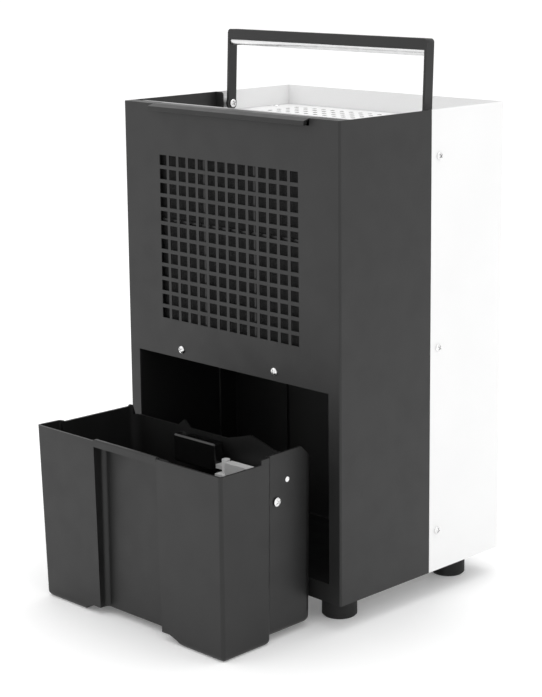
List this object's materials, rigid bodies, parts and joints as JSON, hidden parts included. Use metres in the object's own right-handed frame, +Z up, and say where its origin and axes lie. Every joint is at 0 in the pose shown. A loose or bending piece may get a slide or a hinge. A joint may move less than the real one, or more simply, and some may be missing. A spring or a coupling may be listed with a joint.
{
  "type": "dehumidifier",
  "caption": "Compact metal dehumidifier with rear intake grille and filter, perforated top outlet, folding carry handle, and a lift-out water tank standing in front of its bay.",
  "frame": {"origin": "on the floor, at the middle of the footprint of the machine together with its tank", "axes": "+Z up, intake and tank side towards -Y, white control front towards +Y"},
  "size_m": [0.3066, 0.3868, 0.5527],
  "materials": {
    "black_steel": "satin powder coat",
    "white_steel": "satin powder coat",
    "black_plastic": "satin moulded plastic",
    "dark_plastic": "glossy moulded plastic",
    "grey_plastic": "satin moulded plastic",
    "rubber": "matt rubber",
    "zinc": "zinc plated steel",
    "bright_metal": "polished",
    "silver_tube": "satin anodised",
    "aluminium": "plain",
    "copper": "copper",
    "mesh": "woven filter mesh",
    "board": "circuit board",
    "lamp": "clear coloured lens"
  },
  "bodies": {
    "cabinet": {"rear_casing": "black_steel", "compressor": "black_steel", "fan_shroud": "black_steel", "front_casing": "white_steel", "top_panel": "white_steel", "bay_liner": "black_plastic", "drip_tray": "black_plastic", "filter_guides": "black_plastic", "control_panel": "black_plastic", "cable_gland": "black_plastic", "tank_switch": "black_plastic", "switch_housing": "black_plastic", "run_capacitor": "dark_plastic", "humidistat": "grey_plastic", "handle_bushes": "grey_plastic", "foot_rear_left": "rubber", "foot_front_left": "rubber", "foot_rear_right": "rubber", "foot_front_right": "rubber", "compressor_mounts": "rubber", "base_plate": "zinc", "deck_plate": "zinc", "side_rails": "zinc", "filter_channel": "zinc", "panel_brackets": "zinc", "coil_end_plates": "zinc", "motor_bracket": "zinc", "compressor_plate": "zinc", "compressor_bolts": "zinc", "foot_screws": "zinc", "top_panel_screws": "zinc", "accumulator": "zinc", "fan_motor": "zinc", "side_screws": "bright_metal", "rear_screws": "bright_metal", "handle_screws": "bright_metal", "evaporator_fins": "aluminium", "condenser_fins": "aluminium", "evaporator_tube": "copper", "condenser_tube": "copper", "discharge_pipe": "copper", "suction_pipe": "copper", "liquid_line": "copper", "filter_drier": "copper", "accumulator_pipe": "copper", "control_board": "board", "indicator_lamps": "lamp"},
    "handle": {"handle_bail": "black_steel", "handle_tube": "silver_tube"},
    "filter": {"filter_frame": "black_plastic", "filter_mesh": "mesh"},
    "tank": {"tank": "black_plastic", "float_pin": "bright_metal", "float_stop_screw": "bright_metal"},
    "float": {"float_box": "dark_plastic", "float_arm": "grey_plastic"},
    "fan": {"fan_wheel": "black_plastic", "fan_shaft": "zinc"},
    "knob": {"humidity_knob": "black_plastic"},
    "rocker": {"switch_rocker": "dark_plastic"}
  },
  "joints": [
    {"name": "handle_fold", "type": "hinge", "parent": "cabinet", "child": "handle", "pos_m": [0, 0.07625, 0.4745], "axis": [1, 0, 0], "range_deg": [-87.6, 92.4]},
    {"name": "filter_lift", "type": "slide", "parent": "cabinet", "child": "filter", "axis": [0, 0, 1], "range_m": [0, 0.225]},
    {"name": "tank_draw", "type": "slide", "parent": "cabinet", "child": "tank", "axis": [0, -1, 0], "range_m": [0, 0.15]},
    {"name": "float_rise", "type": "hinge", "parent": "tank", "child": "float", "pos_m": [0.11189, -0.10149, 0.1555], "axis": [0.9998, 0.0192, 0], "range_deg": [0, 12]},
    {"name": "fan_spin", "type": "hinge", "parent": "cabinet", "child": "fan", "pos_m": [0, 0.04425, 0.3565], "axis": [0, 1, 0], "continuous": true},
    {"name": "knob_turn", "type": "hinge", "parent": "cabinet", "child": "knob", "pos_m": [-0.024, 0.17625, 0.3995], "axis": [0, 1, 0], "range_deg": [-135, 135]},
    {"name": "rocker_press", "type": "hinge", "parent": "cabinet", "child": "rocker", "pos_m": [0.026, 0.17725, 0.3995], "axis": [1, 0, 0], "range_deg": [-16, 0]}
  ]
}
